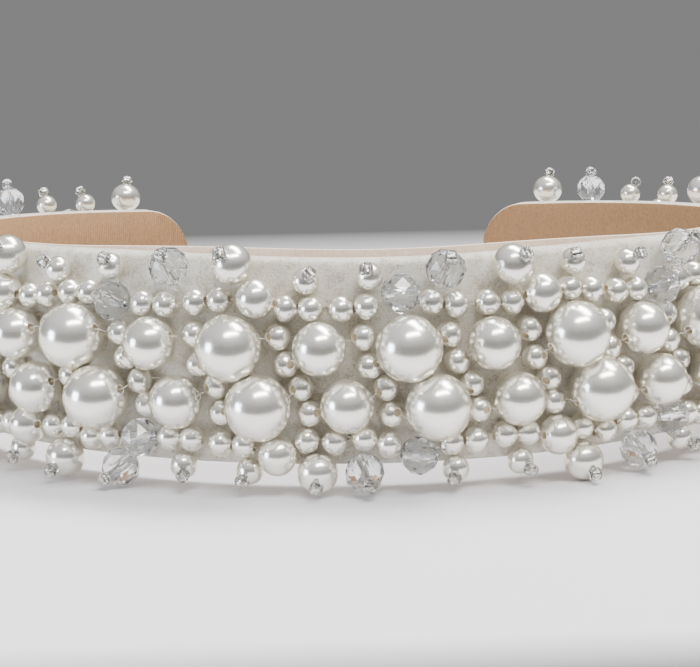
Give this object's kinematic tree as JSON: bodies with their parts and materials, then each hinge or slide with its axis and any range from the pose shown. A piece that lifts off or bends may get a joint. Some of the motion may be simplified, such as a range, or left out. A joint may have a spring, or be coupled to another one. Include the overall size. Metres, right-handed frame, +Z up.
{
  "type": "beaded headband",
  "caption": "Wide springy headband covered in velvet, ribbon lined, sewn all over with pearls, faceted crystals and seed beads.",
  "frame": {"origin": "middle of the underside of the whole object's box, on the surface that the band stands on", "axes": "+Z up across the band's width, crown of the head towards -Y, open end towards +Y, +X to the right seen from the crown"},
  "size_m": [0.1644, 0.1382, 0.0385],
  "materials": {
    "core": "satin",
    "velvet": "matte",
    "ribbon": "satin",
    "pearl": "gloss",
    "crystal": "gloss"
  },
  "bodies": {
    "crown": {"core_strip_crown": "core", "velvet_cover_crown": "velvet", "ribbon_lining_crown": "ribbon", "pearl_cluster_10": "pearl", "pearl_cluster_11": "pearl", "pearl_cluster_12": "pearl", "pearl_cluster_13": "pearl", "pearl_cluster_14": "pearl", "pearl_cluster_15": "pearl", "pearl_cluster_16": "pearl", "pearl_cluster_17": "pearl", "pearl_cluster_18": "pearl", "pearl_cluster_19": "pearl", "upper_swags_crown": "pearl", "lower_swags_crown": "pearl", "top_stacks_crown": "crystal", "bottom_stacks_crown": "crystal"},
    "left_arm": {"core_strip_left": "core", "velvet_cover_left": "velvet", "ribbon_lining_left": "ribbon", "ribbon_fold_left": "ribbon", "pearl_cluster_01": "pearl", "pearl_cluster_02": "pearl", "pearl_cluster_03": "pearl", "pearl_cluster_04": "pearl", "pearl_cluster_05": "pearl", "pearl_cluster_06": "pearl", "pearl_cluster_07": "pearl", "pearl_cluster_08": "pearl", "pearl_cluster_09": "pearl", "upper_swags_left_rear": "pearl", "upper_swags_left_front": "pearl", "lower_swags_left_rear": "pearl", "lower_swags_left_front": "pearl", "top_stacks_left_rear": "crystal", "top_stacks_left_front": "crystal", "bottom_stacks_left_rear": "crystal", "bottom_stacks_left_front": "crystal"},
    "right_arm": {"core_strip_right": "core", "velvet_cover_right": "velvet", "ribbon_lining_right": "ribbon", "ribbon_fold_right": "ribbon", "pearl_cluster_20": "pearl", "pearl_cluster_21": "pearl", "pearl_cluster_22": "pearl", "pearl_cluster_23": "pearl", "pearl_cluster_24": "pearl", "pearl_cluster_25": "pearl", "pearl_cluster_26": "pearl", "pearl_cluster_27": "pearl", "pearl_cluster_28": "pearl", "upper_swags_right_front": "pearl", "upper_swags_right_rear": "pearl", "lower_swags_right_front": "pearl", "lower_swags_right_rear": "pearl", "top_stacks_right_front": "crystal", "top_stacks_right_rear": "crystal", "bottom_stacks_right_front": "crystal", "bottom_stacks_right_rear": "crystal"}
  },
  "joints": [
    {"name": "left_arm_flex", "type": "hinge", "parent": "crown", "child": "left_arm", "pos_m": [-0.05629, -0.04112, 0.01922], "axis": [0, 0, 1], "range_deg": [-4, 18], "stiffness_Nm_per_rad": 0.6},
    {"name": "right_arm_flex", "type": "hinge", "parent": "crown", "child": "right_arm", "pos_m": [0.05669, -0.04112, 0.01922], "axis": [0, 0, -1], "range_deg": [-4, 18], "stiffness_Nm_per_rad": 0.6}
  ]
}
